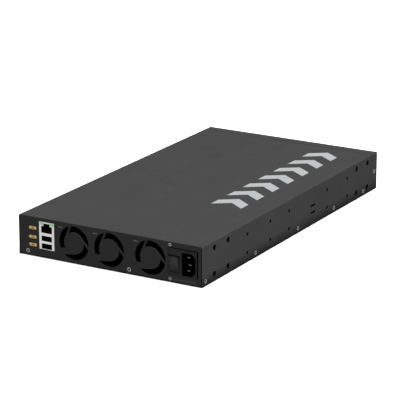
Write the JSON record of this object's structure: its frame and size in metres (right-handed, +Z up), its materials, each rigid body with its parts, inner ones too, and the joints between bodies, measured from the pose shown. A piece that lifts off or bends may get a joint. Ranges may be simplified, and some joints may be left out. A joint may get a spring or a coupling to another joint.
{
  "type": "rackmount network switch",
  "caption": "Half-width one-unit switch with stacked pluggable ports in front, and fans, service jacks, timing ports and a switched power inlet behind.",
  "frame": {"origin": "middle of the footprint, on the surface that the switch stands on", "axes": "+Z up, -Y out of the front with the pluggable ports, +Y out of the rear with the fans and power inlet, +X to the right seen from the front"},
  "size_m": [0.22, 0.4008, 0.0432],
  "materials": {
    "bearing_bronze": "sintered",
    "black_plastic": "fine moulded texture",
    "board_green": "solder mask",
    "brass_pins": "plated",
    "cage_steel": "bright tinned",
    "capacitor_sleeve": "shrink sleeve",
    "chip_black": "moulded epoxy",
    "copper_coil": "enamelled",
    "gold_plate": "gold plated",
    "heatsink_aluminium": "clear anodised",
    "led_green": "translucent",
    "light_pipe_clear": "clear moulded",
    "panel_coat": "fine matt powder coat, darker",
    "port_shell": "bright nickel",
    "powder_coat": "fine matt powder coat",
    "rocker_plastic": "smooth moulded",
    "screw_steel": "zinc plated",
    "tray_steel": "matt dark coat",
    "wire_sleeve": "soft insulation"
  },
  "bodies": {
    "chassis": {"ac_inlet_housing": "black_plastic", "ac_inlet_pins": "brass_pins", "ac_leads": "wire_sleeve", "base_tray": "tray_steel", "board_capacitors": "capacitor_sleeve", "board_inductors": "chip_black", "board_screws": "screw_steel", "board_standoffs": "screw_steel", "cage_connectors": "black_plastic", "cover_screws": "screw_steel", "dc_harness": "wire_sleeve", "fan_1_frame": "black_plastic", "fan_2_frame": "black_plastic", "fan_3_frame": "black_plastic", "fan_bearings": "bearing_bronze", "fan_bracket": "tray_steel", "fan_leads": "wire_sleeve", "fan_screws": "screw_steel", "fan_stators": "copper_coil", "front_panel": "powder_coat", "inlet_bracket": "panel_coat", "inlet_bracket_screws": "screw_steel", "io_stack_body": "black_plastic", "io_stack_contacts": "gold_plate", "io_stack_leds": "led_green", "io_stack_shell": "port_shell", "light_pipes": "light_pipe_clear", "main_board": "board_green", "memory_chips": "chip_black", "processor_chip": "chip_black", "processor_heatsink": "heatsink_aluminium", "psu_board": "board_green", "psu_capacitors": "capacitor_sleeve", "psu_filter_choke": "copper_coil", "psu_heatsinks": "heatsink_aluminium", "psu_transformer": "copper_coil", "qsfp_cage": "cage_steel", "rear_panel": "panel_coat", "rear_panel_screws": "screw_steel", "reset_switch": "black_plastic", "retimer_chips": "chip_black", "rocker_frame": "black_plastic", "rocker_terminals": "brass_pins", "sfp_cage_left": "cage_steel", "sfp_cage_right": "cage_steel", "switch_chip": "chip_black", "switch_heatsink": "heatsink_aluminium", "timing_board": "board_green", "timing_port_1": "gold_plate", "timing_port_2": "gold_plate", "timing_port_3": "gold_plate", "timing_port_tongues": "gold_plate", "top_cover": "powder_coat", "wire_sockets": "black_plastic"},
    "rotor_1": {"fan_1_rotor": "black_plastic"},
    "rotor_2": {"fan_2_rotor": "black_plastic"},
    "rotor_3": {"fan_3_rotor": "black_plastic"},
    "rocker": {"power_rocker": "rocker_plastic"},
    "reset_plunger": {"reset_button": "black_plastic"}
  },
  "joints": [
    {"name": "fan_1_spin", "type": "hinge", "parent": "chassis", "child": "rotor_1", "pos_m": [0.0422, 0.185, 0.022], "axis": [0, 1, 0], "continuous": true},
    {"name": "fan_2_spin", "type": "hinge", "parent": "chassis", "child": "rotor_2", "pos_m": [-0.0004, 0.185, 0.022], "axis": [0, 1, 0], "continuous": true},
    {"name": "fan_3_spin", "type": "hinge", "parent": "chassis", "child": "rotor_3", "pos_m": [-0.0495, 0.185, 0.022], "axis": [0, 1, 0], "continuous": true},
    {"name": "power_rocker_tilt", "type": "hinge", "parent": "chassis", "child": "rocker", "pos_m": [-0.0772, 0.1968, 0.0194], "axis": [-1, 0, 0], "range_deg": [0, 16]},
    {"name": "reset_press", "type": "slide", "parent": "chassis", "child": "reset_plunger", "axis": [0, 1, 0], "range_m": [0, 0.0008], "stiffness_N_per_m": 300, "springref_m": -0.0004}
  ]
}
